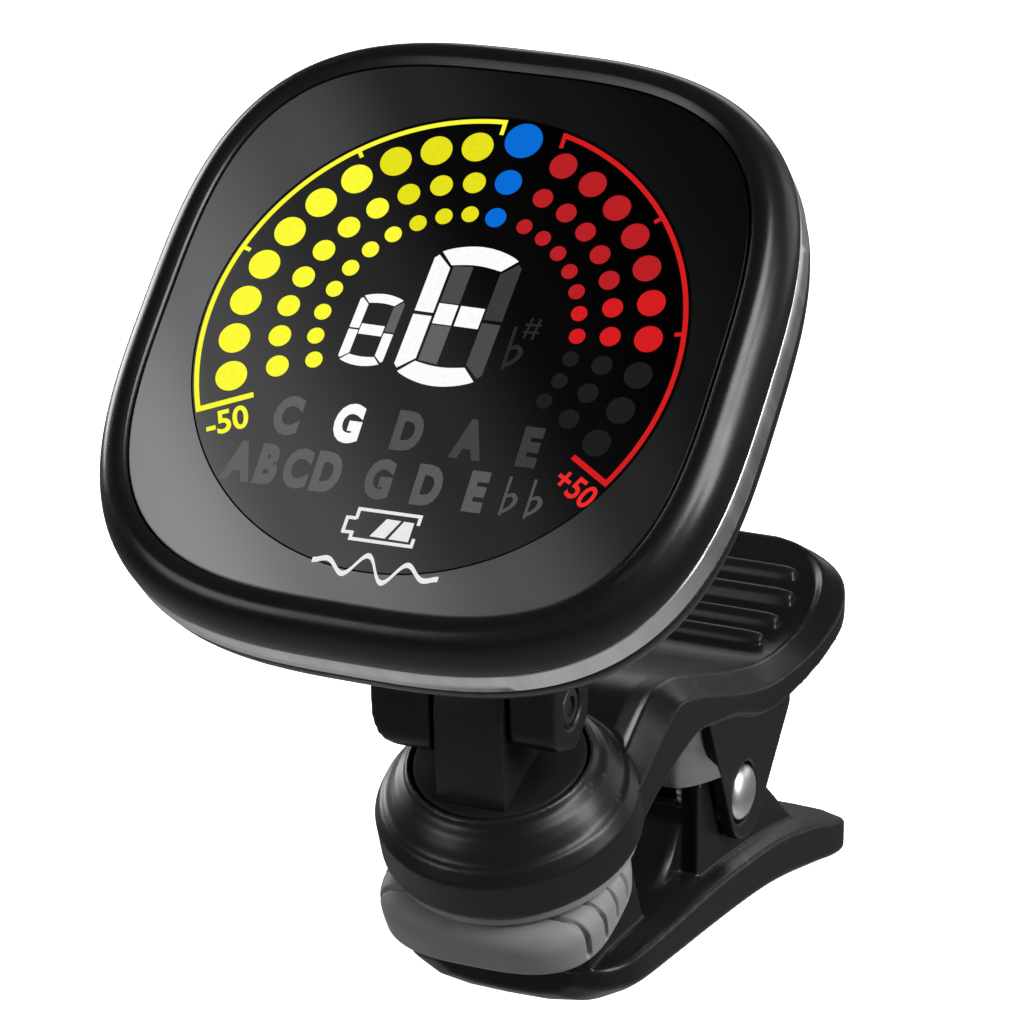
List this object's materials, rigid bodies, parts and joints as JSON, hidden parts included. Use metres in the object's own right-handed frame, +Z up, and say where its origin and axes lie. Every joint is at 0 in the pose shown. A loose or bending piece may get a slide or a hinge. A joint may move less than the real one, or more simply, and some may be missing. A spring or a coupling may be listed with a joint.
{
  "type": "clip-on instrument tuner",
  "caption": "Clip-on tuner with a tilting and swivelling rounded-square display head on a sprung clamp with rubber pads, rear grip and push buttons.",
  "frame": {"origin": "middle of the lower rubber pad's clamping face, on the axis of the round boss above it", "axes": "+Z up, -Y towards the player (the nose of the clip), +X across the clip; the clamping axis leans 20 degrees forward of +Z"},
  "size_m": [0.0526, 0.0876, 0.087],
  "materials": {
    "jaw_plastic": "moulded black ABS, fine satin grain",
    "neck_plastic": "moulded black ABS, satin",
    "cover_plastic": "moulded black ABS, fine grain",
    "button_plastic": "gloss black",
    "gloss_bezel": "semi-gloss black",
    "smoked_lens": "glossy smoked front window",
    "satin_silver": "satin silver band",
    "grip_rubber": "mid-grey silicone rubber",
    "gasket_rubber": "black foam rubber",
    "polished_steel": "polished rivet",
    "spring_steel": "polished sheet spring steel",
    "fastener_steel": "plated steel",
    "socket_steel": "plated socket shell",
    "display_glass": "black display panel with coloured segments",
    "clear_acrylic": "clear light guide",
    "led_white": "white LED package",
    "board_green": "green circuit board",
    "chip_black": "black moulded chip",
    "cell_silver": "foil pouch cell",
    "sensor_brass": "brass contact sensor disc"
  },
  "bodies": {
    "lower_jaw": {"lower_jaw": "jaw_plastic", "lower_pad": "grip_rubber", "pivot_pin": "polished_steel", "clip_spring": "spring_steel"},
    "upper_jaw": {"upper_jaw": "jaw_plastic", "upper_pad": "grip_rubber"},
    "swivel": {"swivel_post": "neck_plastic", "swivel_screw": "fastener_steel", "swivel_washer": "fastener_steel"},
    "power_button": {"power_button": "button_plastic"},
    "mode_button": {"mode_button": "button_plastic"},
    "head": {"front_bezel": "gloss_bezel", "display_lens": "smoked_lens", "lcd_gasket": "gasket_rubber", "lcd_panel": "display_glass", "light_guide": "clear_acrylic", "backlight_led_left": "led_white", "backlight_led_right": "led_white", "circuit_board": "board_green", "main_chip": "chip_black", "tact_switch_power": "fastener_steel", "tact_switch_mode": "fastener_steel", "trim_ring": "satin_silver", "rear_cover": "cover_plastic", "battery_cell": "cell_silver", "piezo_disc": "sensor_brass", "usb_socket": "socket_steel", "case_screw_1": "fastener_steel", "case_screw_2": "fastener_steel", "case_screw_3": "fastener_steel", "case_screw_4": "fastener_steel", "hinge_screw": "fastener_steel", "hinge_nut": "fastener_steel"}
  },
  "joints": [
    {"name": "clip_hinge", "type": "hinge", "parent": "lower_jaw", "child": "upper_jaw", "pos_m": [0, 0.027, -0.0048], "axis": [-1, 0, 0], "range_deg": [0, 25], "stiffness_Nm_per_rad": 0.15, "springref_deg": -34.38, "deforming": ["clip_spring"]},
    {"name": "swivel_turn", "type": "hinge", "parent": "upper_jaw", "child": "swivel", "pos_m": [0, 0, 0], "axis": [0, -0.342, 0.9397], "continuous": true},
    {"name": "head_tilt", "type": "hinge", "parent": "swivel", "child": "head", "pos_m": [0, -0.00564, 0.0155], "axis": [1, 0, 0], "range_deg": [-40, 45]},
    {"name": "power_press", "type": "slide", "parent": "head", "child": "power_button", "axis": [0, -0.6947, 0.7193], "range_m": [0, 0.0004], "stiffness_N_per_m": 300, "springref_m": -0.0005},
    {"name": "mode_press", "type": "slide", "parent": "head", "child": "mode_button", "axis": [0, -0.6947, 0.7193], "range_m": [0, 0.0004], "stiffness_N_per_m": 300, "springref_m": -0.0005}
  ]
}
